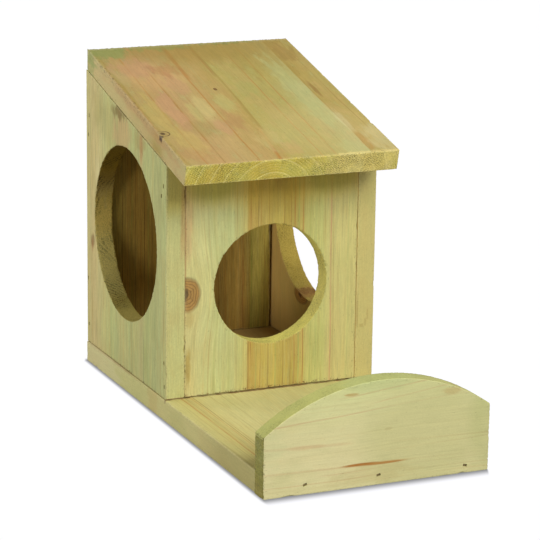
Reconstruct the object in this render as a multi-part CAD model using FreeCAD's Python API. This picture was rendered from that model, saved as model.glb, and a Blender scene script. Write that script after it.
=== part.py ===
import FreeCAD, Part

import math
import os

from FreeCAD import Rotation, Vector

# Squirrel feeder box: a wooden box with three round openings under a sloping, hinged lid,
# standing on a base board that runs forward as a tray and ends in an arched stop board.
# Millimetres, +Z up. The front faces -Y and X runs across.
# The origin lies on the floor, in the middle of the footprint of base and stop board.

# Base board, a little wider than the box on each side
base_side_margin = 0.5
base_length = 241.5
base_thickness = 11.5

# Arched stop board at the front end of the base, a little wider again on each side
lip_side_margin = 0.5
lip_thickness = 10.5
lip_left_height = 31.0
lip_right_height = 34.5
lip_crown_height = 53.3
lip_crown_offset = 3.0
lip_worn_corner_radius = 2.0

# Box
box_width = 120.0
box_depth = 122.0
side_thickness = 10.5
side_front_height = 125.2
side_back_height = 155.7
side_window_diameter = 95.0
side_window_height = 76.0
side_window_shift = 0.3

# Front panel, between the side panels
front_thickness = 10.5
front_recess = 0.4
front_floor_gap = 0.6
front_side_clearance = 0.15
entrance_diameter = 64.5
entrance_height = 57.6
entrance_offset = -0.5

# Back panel, between the side panels, with an open joint at its right edge
back_thickness = 10.5
back_side_clearance = 0.15
back_open_joint = 1.3

# Roof board, which is the lid
roof_side_overhang = 0.0
roof_thickness = 11.0
roof_front_overhang = 23.0
roof_side_shift = 0.5
lid_gap = 0.3

# Eased edges of all boards
arris_radius = 0.5
sawn_edge_radius = 0.3

# Brads: rectangular wire with a T head, driven a little below the surface
brad_length = 25.0
brad_shank_width = 1.3
brad_shank_thickness = 1.0
brad_point_length = 2.0
brad_head_length = 2.2
brad_head_width = 1.3
brad_head_height = 0.8
brad_set_depth = 0.4

# Places of the brads: distance from the panel's edge, then height above the base for
# the lower ones and depth below the sloping edge for the upper ones
front_brads_low = [(2.3, 6.7), (2.9, 19.6)]
front_brads_high = [(6.9, 18.5), (4.2, 12.2)]
back_brads_low = [(2.8, 10.7), (1.8, 37.4)]
back_brads_high = [(3.1, 35.1), (4.4, 23.8)]

# Places of the brads in the stop board: offset from the middle, height, and turn in degrees,
# clockwise as seen from the front
lip_brad_places = [(-39.0, 4.9, -20.0), (0.4, 4.9, -15.0), (48.0, 3.9, 12.0)]

# Brads from below: into each side panel near its ends and at its middle, and into the back panel
base_brad_end_inset = 24.0
base_brad_back_inset = 27.5

# Butt hinges on the back, with countersunk screws
hinge_length = 25.0
hinge_inset = 5.0
hinge_leaf_width = 10.0
hinge_leaf_thickness = 0.9
hinge_pin_diameter = 1.8
hinge_lid_knuckle_length = 9.0
hinge_knuckle_gap = 0.3
hinge_barrel_standoff = 0.25
hinge_pin_clearance = 0.05
hinge_corner_radius = 1.5
screw_spacing = 15.0
screw_height = 6.0
screw_length = 9.0
screw_shank_diameter = 2.0
screw_head_diameter = 4.0
screw_point_length = 2.5
screw_slot_length = 2.2
screw_slot_width = 0.45
screw_slot_depth = 0.5
fit_clearance = 0.02

# Worked-out places
back_y = (base_length + lip_thickness) / 2
lip_back_y = back_y - base_length
lip_front_y = lip_back_y - lip_thickness
box_front_y = back_y - box_depth
side_outer_x = box_width / 2
side_inner_x = side_outer_x - side_thickness
base_width = box_width + 2 * base_side_margin
lip_width = base_width + 2 * lip_side_margin
roof_width = box_width + 2 * roof_side_overhang
hinge_middle_x = side_inner_x - hinge_inset - hinge_length / 2
roof_slope = math.atan2(side_back_height - side_front_height, box_depth)
hinge_barrel_radius = hinge_pin_diameter / 2 + hinge_leaf_thickness
hinge_axis_y = back_y + hinge_barrel_radius + hinge_barrel_standoff
overrun = 5.0


def wall_top(y):
    """Height of the side panels' sloping edge at y."""
    return base_thickness + side_front_height + (y - box_front_y) * math.tan(roof_slope)


hinge_axis_z = wall_top(back_y) + lid_gap / 2


def block(low, high):
    """A rectangular solid between two corners."""
    size = [b - a for a, b in zip(low, high)]
    return Part.makeBox(size[0], size[1], size[2], Vector(*low))


def prism_across(outline, low_x, high_x):
    """A solid with a side outline of (y, z) points, from low_x to high_x."""
    points = [Vector(low_x, y, z) for y, z in outline]
    face = Part.Face(Part.makePolygon(points + points[:1]))
    return face.extrude(Vector(high_x - low_x, 0, 0))


def eased(board, thickness):
    """The board with all its edges rounded a little."""
    radius = min(arris_radius, thickness / 4)
    return board.makeFillet(radius, board.Edges)


def with_round_hole(panel, centre, direction, diameter):
    """The panel with a sawn round hole right through it, its two rims eased."""
    radius = diameter / 2
    length = direction.Length
    drill = Part.makeCylinder(radius, length, centre - direction * 0.5, direction)
    holed = panel.cut(drill)
    rims = [edge for edge in holed.Edges if abs(edge.Length - math.pi * diameter) < 1e-6]
    return holed.makeFillet(sawn_edge_radius, rims)


def placed(shape, point, direction, turn=0.0):
    """The shape turned about Z, then aimed along direction and moved to point."""
    aimed = shape.copy()
    aimed.rotate(Vector(0, 0, 0), Vector(0, 0, 1), turn)
    aim = Rotation(Vector(0, 0, 1), direction)
    aimed.Placement = FreeCAD.Placement(point, aim).multiply(aimed.Placement)
    return aimed


def brad_body():
    """One brad at the origin, driven along +Z, with a chisel point."""
    half_width = brad_shank_width / 2
    half_thickness = brad_shank_thickness / 2
    top = brad_set_depth + brad_head_height / 2
    shoulder = brad_set_depth + brad_length - brad_point_length
    tip = brad_set_depth + brad_length
    side = [
        (-half_thickness, top),
        (half_thickness, top),
        (half_thickness, shoulder),
        (0.0, tip),
        (-half_thickness, shoulder),
    ]
    shank = prism_across(side, -half_width, half_width)
    head = block(
        (-brad_head_length / 2, -brad_head_width / 2, brad_set_depth),
        (brad_head_length / 2, brad_head_width / 2, brad_set_depth + brad_head_height),
    )
    return shank.fuse(head).removeSplitter()


def brad_pocket():
    """The space that a brad takes up, with the dent above its head."""
    dent = block(
        (-brad_head_length / 2, -brad_head_width / 2, -overrun),
        (brad_head_length / 2, brad_head_width / 2, brad_set_depth),
    )
    return brad_body().fuse(dent).removeSplitter()


def screw_body(clearance):
    """One countersunk screw at the origin, its head flush, driven along +Z."""
    head_radius = screw_head_diameter / 2
    radius = screw_shank_diameter / 2
    head_height = head_radius - radius
    tip = screw_length + clearance
    profile = [
        Vector(0, 0, 0),
        Vector(head_radius + clearance, 0, 0),
        Vector(radius + clearance, 0, head_height),
        Vector(radius + clearance, 0, tip - screw_point_length),
        Vector(0, 0, tip),
    ]
    face = Part.Face(Part.makePolygon(profile + profile[:1]))
    return face.revolve(Vector(0, 0, 0), Vector(0, 0, 1), 360)


def screw_with_cross_slot():
    """The screw with a crossed recess for the driver."""
    screw = screw_body(0.0)
    for turn in (0.0, 90.0):
        slot = block(
            (-screw_slot_length / 2, -screw_slot_width / 2, -overrun),
            (screw_slot_length / 2, screw_slot_width / 2, screw_slot_depth),
        )
        slot.rotate(Vector(0, 0, 0), Vector(0, 0, 1), turn)
        screw = screw.cut(slot)
    return screw


def group(pattern, places):
    """Copies of the pattern, one for each (point, direction, turn)."""
    return [placed(pattern, *place) for place in places]


def cut_all(board, tools):
    """The board with every tool cut from it."""
    for tool in tools:
        board = board.cut(tool)
    return board


def side_brad_places(side, at_front):
    """Brads of one side panel into the front or the back panel."""
    low = front_brads_low if at_front else back_brads_low
    high = front_brads_high if at_front else back_brads_high
    inwards = Vector(-side, 0, 0)
    places = []
    for inset, height in low:
        y = box_front_y + inset if at_front else back_y - inset
        places.append((Vector(side * side_outer_x, y, base_thickness + height), inwards, 0.0))
    for inset, depth in high:
        y = box_front_y + inset if at_front else back_y - inset
        places.append((Vector(side * side_outer_x, y, wall_top(y) - depth), inwards, 0.0))
    return places


def brad_row_places():
    """Every group of brads, by the name of its node."""
    up = Vector(0, 0, 1)
    into_base = Vector(0, 1, 0)
    wall_middle_x = side_outer_x - side_thickness / 2
    setbacks = (base_brad_end_inset, box_depth / 2, box_depth - base_brad_end_inset)
    under = []
    for side in (-1, 1):
        for setback in setbacks:
            under.append((Vector(side * wall_middle_x, box_front_y + setback, 0), up, 90.0))
        back_x = side * (side_inner_x - base_brad_back_inset)
        under.append((Vector(back_x, back_y - back_thickness / 2, 0), up, 0.0))
    return {
        "lip_brads": [(Vector(x, lip_front_y, z), into_base, turn) for x, z, turn in lip_brad_places],
        "left_front_brads": side_brad_places(-1, True),
        "left_back_brads": side_brad_places(-1, False),
        "right_front_brads": side_brad_places(1, True),
        "right_back_brads": side_brad_places(1, False),
        "base_brads": under,
    }


def base_board():
    """The floor board."""
    board = block((-base_width / 2, lip_back_y, 0), (base_width / 2, back_y, base_thickness))
    return eased(board, base_thickness)


def front_lip():
    """The stop board, whose arched top is one arc through its ends and its crown."""
    left = Vector(-lip_width / 2, lip_front_y, lip_left_height)
    right = Vector(lip_width / 2, lip_front_y, lip_right_height)
    crown = Vector(lip_crown_offset, lip_front_y, lip_crown_height)
    left_foot = Vector(-lip_width / 2, lip_front_y, 0)
    corner = lip_worn_corner_radius
    worn_start = Vector(lip_width / 2 - corner, lip_front_y, 0)
    worn_end = Vector(lip_width / 2, lip_front_y, corner)
    worn_centre = Vector(lip_width / 2 - corner, lip_front_y, corner)
    worn_middle = worn_centre + Vector(1, 0, -1).normalize() * corner
    edges = [
        Part.LineSegment(left_foot, worn_start).toShape(),
        Part.Arc(worn_start, worn_middle, worn_end).toShape(),
        Part.LineSegment(worn_end, right).toShape(),
        Part.Arc(right, crown, left).toShape(),
        Part.LineSegment(left, left_foot).toShape(),
    ]
    board = Part.Face(Part.Wire(edges)).extrude(Vector(0, lip_thickness, 0))
    return eased(board, lip_thickness)


def side_panel(side):
    """A side wall with its round window."""
    outline = [
        (box_front_y, base_thickness),
        (back_y, base_thickness),
        (back_y, wall_top(back_y)),
        (box_front_y, wall_top(box_front_y)),
    ]
    low_x, high_x = sorted((side * side_inner_x, side * side_outer_x))
    board = eased(prism_across(outline, low_x, high_x), side_thickness)
    middle_x = side * (side_inner_x + side_outer_x) / 2
    middle_y = box_front_y + box_depth / 2
    centre = Vector(middle_x, middle_y + side_window_shift, base_thickness + side_window_height)
    drill = Vector(side_thickness + 2 * overrun, 0, 0)
    return with_round_hole(board, centre, drill, side_window_diameter)


def front_panel():
    """The front wall with the round entrance."""
    front_y = box_front_y + front_recess
    rear_y = front_y + front_thickness
    bottom = base_thickness + front_floor_gap
    half_width = side_inner_x - front_side_clearance
    outline = [(front_y, bottom), (rear_y, bottom), (rear_y, wall_top(rear_y)), (front_y, wall_top(front_y))]
    board = eased(prism_across(outline, -half_width, half_width), front_thickness)
    centre = Vector(entrance_offset, (front_y + rear_y) / 2, base_thickness + entrance_height)
    drill = Vector(0, front_thickness + 2 * overrun, 0)
    return with_round_hole(board, centre, drill, entrance_diameter)


def back_panel():
    """The back wall."""
    inner_y = back_y - back_thickness
    low_x = -side_inner_x + back_side_clearance
    high_x = side_inner_x - back_open_joint
    outline = [
        (inner_y, base_thickness),
        (back_y, base_thickness),
        (back_y, wall_top(back_y)),
        (inner_y, wall_top(inner_y)),
    ]
    return eased(prism_across(outline, low_x, high_x), back_thickness)


def roof_board():
    """The lid: square-cut at the front and cut plumb at the back, flush with the box."""
    eaves_y = box_front_y - roof_front_overhang
    rise = roof_thickness * math.cos(roof_slope)
    run = roof_thickness * math.sin(roof_slope)
    eaves_z = wall_top(eaves_y) + lid_gap
    ridge_z = wall_top(back_y) + lid_gap
    outline = [
        (eaves_y, eaves_z),
        (back_y, ridge_z),
        (back_y, ridge_z + roof_thickness / math.cos(roof_slope)),
        (eaves_y - run, eaves_z + rise),
    ]
    low_x = roof_side_shift - roof_width / 2
    return eased(prism_across(outline, low_x, low_x + roof_width), roof_thickness)


def barrel(centre_x, length, radius):
    """A round bar on the hinge axis."""
    start = Vector(centre_x - length / 2, hinge_axis_y, hinge_axis_z)
    return Part.makeCylinder(radius, length, start, Vector(1, 0, 0))


def knuckle_spans(centre_x, on_lid):
    """The middles and lengths of one leaf's knuckles."""
    if on_lid:
        return [(centre_x, hinge_lid_knuckle_length)]
    outer = (hinge_length - hinge_lid_knuckle_length) / 2 - hinge_knuckle_gap
    shift = (hinge_length - outer) / 2
    return [(centre_x - shift, outer), (centre_x + shift, outer)]


def screw_places(centre_x, on_lid):
    """The two screws of one leaf, driven forward from the leaf's face."""
    away = 1 if on_lid else -1
    y = back_y + hinge_leaf_thickness
    z = hinge_axis_z + away * screw_height
    forwards = Vector(0, -1, 0)
    turns = (25.0, 60.0)
    return [
        (Vector(centre_x + side * screw_spacing / 2, y, z), forwards, turn)
        for side, turn in zip((-1, 1), turns)
    ]


def hinge_leaf(centre_x, on_lid):
    """One leaf: a plate on the wood with its knuckles rolled round the pin."""
    away = 1 if on_lid else -1
    outer_z = hinge_axis_z + away * hinge_leaf_width
    low_z, high_z = sorted((hinge_axis_z, outer_z))
    low_x = centre_x - hinge_length / 2
    high_x = centre_x + hinge_length / 2
    plate = block((low_x, back_y, low_z), (high_x, back_y + hinge_leaf_thickness, high_z))
    corners = [
        edge for edge in plate.Edges
        if abs(edge.BoundBox.YLength - hinge_leaf_thickness) < 1e-6
        and abs(edge.CenterOfMass.z - outer_z) < 1e-6
    ]
    leaf = plate.makeFillet(hinge_corner_radius, corners)
    reach = hinge_barrel_radius + hinge_knuckle_gap
    for middle_x, length in knuckle_spans(centre_x, not on_lid):
        room = length / 2 + hinge_knuckle_gap
        notch = block(
            (middle_x - room, back_y - overrun, hinge_axis_z - reach),
            (middle_x + room, back_y + overrun, hinge_axis_z + reach),
        )
        leaf = leaf.cut(notch)
    for middle_x, length in knuckle_spans(centre_x, on_lid):
        leaf = leaf.fuse(barrel(middle_x, length, hinge_barrel_radius))
    clearance = hinge_pin_clearance if on_lid else fit_clearance
    leaf = leaf.cut(barrel(centre_x, hinge_length, hinge_pin_diameter / 2 + clearance))
    leaf = cut_all(leaf, group(screw_body(fit_clearance), screw_places(centre_x, on_lid)))
    return leaf.removeSplitter()


parts = {}

# Boards before their nails and screws
parts["base_board"] = base_board()
parts["front_lip"] = front_lip()
parts["left_side_panel"] = side_panel(-1)
parts["right_side_panel"] = side_panel(1)
parts["front_panel"] = front_panel()
parts["back_panel"] = back_panel()
parts["roof_board"] = roof_board()

# Brads, and the holes that they make
nailed = {
    "lip_brads": ["front_lip", "base_board"],
    "left_front_brads": ["left_side_panel", "front_panel"],
    "left_back_brads": ["left_side_panel", "back_panel"],
    "right_front_brads": ["right_side_panel", "front_panel"],
    "right_back_brads": ["right_side_panel", "back_panel"],
    "base_brads": ["base_board", "left_side_panel", "right_side_panel", "back_panel"],
}
for name, places in brad_row_places().items():
    parts[name] = Part.makeCompound(group(brad_body(), places))
    for board in nailed[name]:
        parts[board] = cut_all(parts[board], group(brad_pocket(), places))

# Hinges
box_screws = []
lid_screws = []
for name, side in (("left", -1), ("right", 1)):
    hinge_x = side * hinge_middle_x
    parts[name + "_hinge_box_leaf"] = hinge_leaf(hinge_x, False)
    parts[name + "_hinge_lid_leaf"] = hinge_leaf(hinge_x, True)
    parts[name + "_hinge_pin"] = barrel(hinge_x, hinge_length, hinge_pin_diameter / 2)
    box_screws += screw_places(hinge_x, False)
    lid_screws += screw_places(hinge_x, True)

# Hinge screws, and the holes that they make in the wood
parts["hinge_box_screws"] = Part.makeCompound(group(screw_with_cross_slot(), box_screws))
parts["hinge_lid_screws"] = Part.makeCompound(group(screw_with_cross_slot(), lid_screws))
parts["back_panel"] = cut_all(parts["back_panel"], group(screw_body(fit_clearance), box_screws))
parts["roof_board"] = cut_all(parts["roof_board"], group(screw_body(fit_clearance), lid_screws))

os.makedirs("parts", exist_ok=True)
for name, shape in parts.items():
    shape.exportStep("parts/" + name + ".step")
    print(name, len(shape.Solids), "solids", round(shape.Volume, 1), "mm3")
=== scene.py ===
import json
import math
from dataclasses import dataclass, field
from typing import NamedTuple

import bmesh
import bpy
from mathutils import Matrix, Vector, noise


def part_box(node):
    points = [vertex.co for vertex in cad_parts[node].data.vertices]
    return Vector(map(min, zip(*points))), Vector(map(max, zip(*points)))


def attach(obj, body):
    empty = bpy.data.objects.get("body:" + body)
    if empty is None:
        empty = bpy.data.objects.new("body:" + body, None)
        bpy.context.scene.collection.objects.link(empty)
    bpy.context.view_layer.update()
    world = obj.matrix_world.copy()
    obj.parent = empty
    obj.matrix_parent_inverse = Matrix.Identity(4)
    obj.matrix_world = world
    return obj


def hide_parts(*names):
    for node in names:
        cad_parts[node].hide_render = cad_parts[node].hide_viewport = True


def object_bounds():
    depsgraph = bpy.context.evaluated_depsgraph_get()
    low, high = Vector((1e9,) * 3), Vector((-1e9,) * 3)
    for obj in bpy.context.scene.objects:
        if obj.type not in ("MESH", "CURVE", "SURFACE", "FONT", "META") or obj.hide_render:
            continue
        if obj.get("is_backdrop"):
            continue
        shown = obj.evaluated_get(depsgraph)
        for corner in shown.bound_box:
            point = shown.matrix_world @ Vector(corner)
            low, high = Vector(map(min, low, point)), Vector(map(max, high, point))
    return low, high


# Looks of a wooden squirrel feeder box: a box of green-tinted pine boards with round openings,
# a sloping lid on two small hinges, and a base board that ends in an arched stop board.
# Objects are in the frame's metres. Places and sizes inside a board are in its own millimetres.

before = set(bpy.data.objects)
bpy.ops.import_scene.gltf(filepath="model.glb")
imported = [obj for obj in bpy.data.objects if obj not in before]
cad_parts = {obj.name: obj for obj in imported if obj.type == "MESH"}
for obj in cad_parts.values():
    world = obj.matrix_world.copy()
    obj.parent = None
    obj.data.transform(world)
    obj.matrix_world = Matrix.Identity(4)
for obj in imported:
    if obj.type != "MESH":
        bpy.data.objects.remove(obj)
cad_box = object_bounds()

millimetre = 0.001

# Corners of the boards, from the frame
base_low, base_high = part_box("base_board")
roof_low, roof_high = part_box("roof_board")
stop_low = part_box("front_lip")[0]
left_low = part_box("left_side_panel")[0]
right_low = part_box("right_side_panel")[0]
front_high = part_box("front_panel")[1]
back_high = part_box("back_panel")[1]

# Side walls, the slope of the roof on them, and the lower front line of the roof board
side_depth = 122.0
side_front_height = 125.2
side_rise = 30.5
roof_overhang = 23.0
lid_gap = 0.3
roof_slope = math.atan2(side_rise, side_depth)
slope_rise = math.tan(roof_slope)
roof_eaves = Vector((
    (roof_low.x + roof_high.x) / 2,
    left_low.y - roof_overhang * millimetre,
    left_low.z + (side_front_height - roof_overhang * slope_rise + lid_gap) * millimetre,
))

# Round cuts: centre and radius
side_window = (61.3, 76.0, 47.5)
entrance = (-0.5, 57.6, 32.25)

# The stop board's top: an arch through its two shoulders and its crown
stop_half_width = 61.0
stop_left_height = 31.0
stop_right_height = 34.5
stop_crown = (3.0, 53.3)


def screen(red, green, blue):
    """A colour given as it looks on screen, 0 to 255, in the linear form that shaders take."""
    def linear(value):
        """One of the three parts in linear form."""
        value /= 255
        return value / 12.92 if value <= 0.04045 else ((value + 0.055) / 1.055) ** 2.4
    return (linear(red), linear(green), linear(blue), 1.0)


# Colours of the treated pine and its marks
cream = screen(216, 206, 156)
straw = screen(204, 192, 130)
straw_green = screen(192, 184, 112)
pale_green = screen(196, 196, 128)
sage = screen(188, 190, 126)
mint = screen(176, 190, 132)
leaf_green = screen(154, 166, 92)
moss = screen(122, 136, 66)
tan = screen(184, 162, 98)
pink_tan = screen(184, 154, 100)
ochre = screen(168, 144, 74)
orange = screen(180, 130, 62)
pink = screen(196, 152, 108)
pink_deep = screen(178, 130, 84)
beige = screen(192, 178, 124)
line_brown = screen(150, 118, 60)
rust = screen(160, 96, 48)
knot_tan = screen(176, 138, 80)
knot_brown = screen(120, 84, 44)
knot_dark = screen(66, 42, 26)
seam_brown = screen(86, 66, 24)
foot_brown = screen(112, 68, 28)
olive = screen(136, 128, 62)
end_yellow = screen(196, 178, 90)
end_green = screen(176, 174, 84)
cut_tan = screen(214, 198, 108)
dirt = screen(84, 76, 44)
pale_streak = screen(210, 202, 138)

# Painted shade on the boards' inner faces: darker inside the box, and with less green and blue, as
# light loses them going from board to board
inside_painted_shade = (0.76, 0.635, 0.36)


class Wire:
    """A value in a node tree, which can be used in sums like a number."""

    def __init__(self, tree, socket):
        self.tree = tree
        self.socket = socket

    def __add__(self, other):
        return self.tree.math("ADD", self, other)

    def __radd__(self, other):
        return self.tree.math("ADD", other, self)

    def __sub__(self, other):
        return self.tree.math("SUBTRACT", self, other)

    def __rsub__(self, other):
        return self.tree.math("SUBTRACT", other, self)

    def __mul__(self, other):
        return self.tree.math("MULTIPLY", self, other)

    def __rmul__(self, other):
        return self.tree.math("MULTIPLY", other, self)

    def __truediv__(self, other):
        return self.tree.math("DIVIDE", self, other)

    def __neg__(self):
        return self.tree.math("MULTIPLY", self, -1.0)

    def __abs__(self):
        return self.tree.math("ABSOLUTE", self)

    def above(self, other):
        """The larger of the two."""
        return self.tree.math("MAXIMUM", self, other)

    def below(self, other):
        """The smaller of the two."""
        return self.tree.math("MINIMUM", self, other)

    def rise(self, low, high):
        """0 at low and 1 at high, with a smooth step between."""
        inputs = {0: self, 1: low, 2: high}
        return self.tree.wire("ShaderNodeMapRange", inputs, interpolation_type="SMOOTHSTEP")

    def parts(self):
        """The three numbers of a vector."""
        split = self.tree.node("ShaderNodeSeparateXYZ", {0: self})
        return [Wire(self.tree, socket) for socket in split.outputs]


class Tree:
    """Adds nodes to one node tree and joins them."""

    def __init__(self, node_tree):
        self.node_tree = node_tree

    def join(self, wire, socket):
        """Joins a wire to a node's socket."""
        self.node_tree.links.new(wire.socket, socket)

    def fill(self, socket, value):
        """Joins a wire to a socket, or sets a plain value on it."""
        if isinstance(value, Wire):
            self.join(value, socket)
        else:
            socket.default_value = value

    def node(self, kind, inputs=None, **settings):
        """A new node with its settings made and its inputs filled or joined."""
        made = self.node_tree.nodes.new(kind)
        for name, value in settings.items():
            setattr(made, name, value)
        for key, value in (inputs or {}).items():
            self.fill(made.inputs[key], value)
        return made

    def wire(self, kind, inputs=None, output=0, **settings):
        """One output of a new node, as a wire."""
        return Wire(self, self.node(kind, inputs, **settings).outputs[output])

    def math(self, operation, *values):
        """A sum, product or the like of up to three numbers."""
        return self.wire("ShaderNodeMath", dict(enumerate(values)), operation=operation)

    def vector(self, operation, *values):
        """A sum, product or the like of vectors."""
        return self.wire("ShaderNodeVectorMath", dict(enumerate(values)), operation=operation)

    def point(self, across, along, through):
        """A vector of three numbers."""
        return self.wire("ShaderNodeCombineXYZ", {0: across, 1: along, 2: through})

    def length(self, across, along):
        """The length of a flat vector."""
        return self.math("SQRT", across * across + along * along)

    def fraction(self, value):
        """What is left of a number past the whole below it."""
        return self.math("FRACT", value)

    def noise(self, place, size, detail=2.0, roughness=0.5):
        """Noise from 0 to 1 whose patches are about size across, along and through."""
        return self.wire("ShaderNodeTexNoise", {
            "Vector": self.vector("DIVIDE", place, size),
            "Scale": 1.0,
            "Detail": detail,
            "Roughness": roughness,
        })

    def mix(self, share, first, second):
        """The first colour, turned into the second by share."""
        return self.wire("ShaderNodeMix", {0: share, 6: first, 7: second}, 2, data_type="RGBA")

    def shade(self, colour, tone):
        """The colour made darker or lighter by a factor."""
        return self.wire("ShaderNodeVectorMath", {0: colour, "Scale": tone}, operation="SCALE")

    def ramp(self, value, stops):
        """A colour that runs through (value, colour) stops."""
        low = stops[0][0]
        span = stops[-1][0] - low
        made = self.node("ShaderNodeValToRGB", {0: (value - low) / span})
        points = made.color_ramp.elements
        while len(points) < len(stops):
            points.new(1.0)
        for point, (position, colour) in zip(points, stops):
            point.position = (position - low) / span
            point.color = colour
        return Wire(self, made.outputs[0])

    def use(self, group, **inputs):
        """A shader group at work: its outputs by name."""
        made = self.node("ShaderNodeGroup", node_tree=group)
        for name, value in inputs.items():
            self.fill(made.inputs[name], value)
        return {socket.name: Wire(self, socket) for socket in made.outputs}

    def place(self, turn=Matrix.Identity(3), origin=Vector((0.0, 0.0, 0.0))):
        """The point on the surface in millimetres from an origin, along turned axes."""
        return self.wire("ShaderNodeMapping", {
            "Vector": self.wire("ShaderNodeTexCoord", output="Object"),
            "Location": -(turn @ origin) / millimetre,
            "Rotation": turn.to_euler(),
            "Scale": (1 / millimetre,) * 3,
        })

    def facing(self, turn):
        """The way that the surface faces, along turned axes."""
        inputs = {
            "Vector": self.wire("ShaderNodeTexCoord", output="Normal"),
            "Rotation": turn.to_euler(),
        }
        return self.wire("ShaderNodeMapping", inputs, vector_type="NORMAL")

    def surface(self, height, **wires):
        """Joins wires to the Principled shader's sockets, and a height in millimetres as its bump."""
        shader = self.node_tree.nodes["Principled BSDF"]
        bump = self.wire("ShaderNodeBump", {"Height": height, "Distance": millimetre})
        for name, wire in dict(wires, normal=bump).items():
            self.join(wire, shader.inputs[name.replace("_", " ").title()])
        return shader


def new_group(name, inputs, outputs):
    """A shader group, with its inputs as wires and a function that gives its outputs."""
    group = bpy.data.node_groups.new(name, "ShaderNodeTree")
    for direction, labels in (("INPUT", inputs), ("OUTPUT", outputs)):
        for label in labels.split():
            kind = "NodeSocketVector" if label in ("place", "low", "high") else "NodeSocketFloat"
            group.interface.new_socket(name=label, in_out=direction, socket_type=kind)
    tree = Tree(group)
    entry = tree.node("NodeGroupInput")
    wires = [Wire(tree, entry.outputs[label]) for label in inputs.split()]
    way_out = tree.node("NodeGroupOutput")

    def give(**results):
        """Joins the named results to the group's outputs."""
        for label, wire in results.items():
            tree.join(wire, way_out.inputs[label])
        return group

    return tree, wires, give


def fibre_group():
    """Fibres, streaks and bands along the grain, soft clouds, roughness and resin dashes."""
    tree, (place, shift), give = new_group(
        "wood_fibres", "place shift", "fine grit streak band mottle blotch cloud fleck"
    )
    moved = tree.vector("ADD", place, tree.point(shift * 37.0, shift * 410.0, shift * 53.0))
    return give(
        fine=tree.noise(moved, (0.55, 14.0, 0.55), 3.0, 0.7),
        grit=tree.noise(moved, (0.70, 1.1, 0.70), 3.0, 0.7),
        streak=tree.noise(moved, (1.8, 90.0, 1.8), 4.0, 0.75),
        band=tree.noise(moved, (6.0, 240.0, 6.0), 2.0),
        mottle=tree.noise(moved, (5.0, 11.0, 5.0), 4.0, 0.65),
        blotch=tree.noise(moved, (10.0, 22.0, 10.0), 5.0, 0.6).rise(0.50, 0.57),
        cloud=tree.noise(moved, (22.0, 42.0, 22.0), 3.0, 0.6),
        fleck=tree.noise(moved, (0.28, 2.6, 0.28), 1.0).rise(0.72, 0.80),
    )


def ring_group():
    """Growth rings round the tree's pith: a thin late band in each, with fainter ones between."""
    tree, (place, pith_across, pith_through, start, spacing, uneven), give = new_group(
        "growth_rings",
        "place pith_across pith_through ring_start ring_spacing ring_uneven",
        "late between",
    )
    across, _, through = place.parts()
    bend = tree.noise(place, (34.0, 160.0, 34.0), 1.0) - 0.5
    radius = tree.length(across - pith_across, through - pith_through)
    turns = (radius + bend * uneven - start) / spacing
    year = tree.fraction(turns)
    late = year.rise(0.80, 0.93) * (1.0 - year.rise(0.97, 1.0))
    season = tree.fraction(turns * 5.0)
    between = season.rise(0.45, 0.85) * (1.0 - season.rise(0.9, 1.0))
    return give(late=late, between=between)


def line_group():
    """A line of late wood along the grain, which frays at its two ends."""
    _, (place, foot, lean, left, right, start, stop, fade), give = new_group(
        "late_wood_line", "place foot lean left right start stop fade", "mask"
    )
    across, along, _ = place.parts()
    offset = across - (foot + lean * along)
    away = (offset / right).above(offset / -left)
    past_ends = (start - along).above(along - stop)
    strength = (1.0 - away.rise(0.0, 1.0)) * (1.0 - past_ends.rise(-6.0, 6.0))
    return give(mask=strength * (0.35 + 0.65 * fade))


def stain_or_painted_light_group():
    """A soft patch with a ragged outline."""
    tree, (place, at_across, at_along, width, length, depth, half_depth, rough), give = new_group(
        "stain_or_painted_light", "place across along half_width half_length depth half_depth rough", "mask"
    )
    across, along, through = place.parts()
    flat = tree.length((across - at_across) / width, (along - at_along) / length)
    reach = flat.above(abs(through - depth) / half_depth)
    return give(mask=1.0 - (reach + rough).rise(0.42, 0.90))


def knot_group():
    """A knot: the grain bends round it, and it has its own rings, a soft rim and a dark heart."""
    tree, (place, at_across, at_along, width, length), give = new_group(
        "knot", "place across along half_width half_length", "place share rings rim heart"
    )
    across, along, through = place.parts()
    off_across = across - at_across
    off_along = along - at_along
    wobble = tree.noise(place, (4.0, 6.0, 4.0), 3.0) - 0.5
    reach = tree.length(off_across / width, off_along / length) + wobble * 0.24
    far = tree.length(off_across / (width * 1.7), off_along / (length * 2.4))
    pull = tree.math("EXPONENT", -(far * far))
    ring = tree.fraction(reach * 5.6 + wobble * 0.6)
    return give(
        place=tree.point(across - off_across * pull * 0.8, along, through),
        share=1.0 - reach.rise(0.80, 1.10),
        rings=ring.rise(0.45, 0.85) * (1.0 - ring.rise(0.88, 1.0)),
        rim=(1.0 - abs(reach - 0.97).rise(0.02, 0.14)) * (0.4 + wobble).rise(0.1, 0.6),
        heart=1.0 - (reach + wobble * 1.2).rise(0.10, 0.45),
    )


def arris_group():
    """Distance from the nearest straight arris of a board, and from the rim of its round cut."""
    tree, (place, low, high, slope, round_across, round_along, radius), give = new_group(
        "arris_distance", "place low high slope round_across round_along radius", "distance round"
    )
    across, along, through = place.parts()
    low_across, low_along, low_through = low.parts()
    high_across, high_along, high_through = high.parts()
    from_sides = (across - low_across).below(high_across - across)
    from_ends = (along - low_along).below(high_along + slope * across - along)
    from_faces = (through - low_through).below(high_through - through)
    nearer = from_sides.below(from_ends)
    farther = from_sides.above(from_ends)
    off_round = abs(tree.length(across - round_across, along - round_along) - radius)
    return give(distance=nearer.above(farther.below(from_faces)), round=off_round.above(from_faces))


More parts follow.
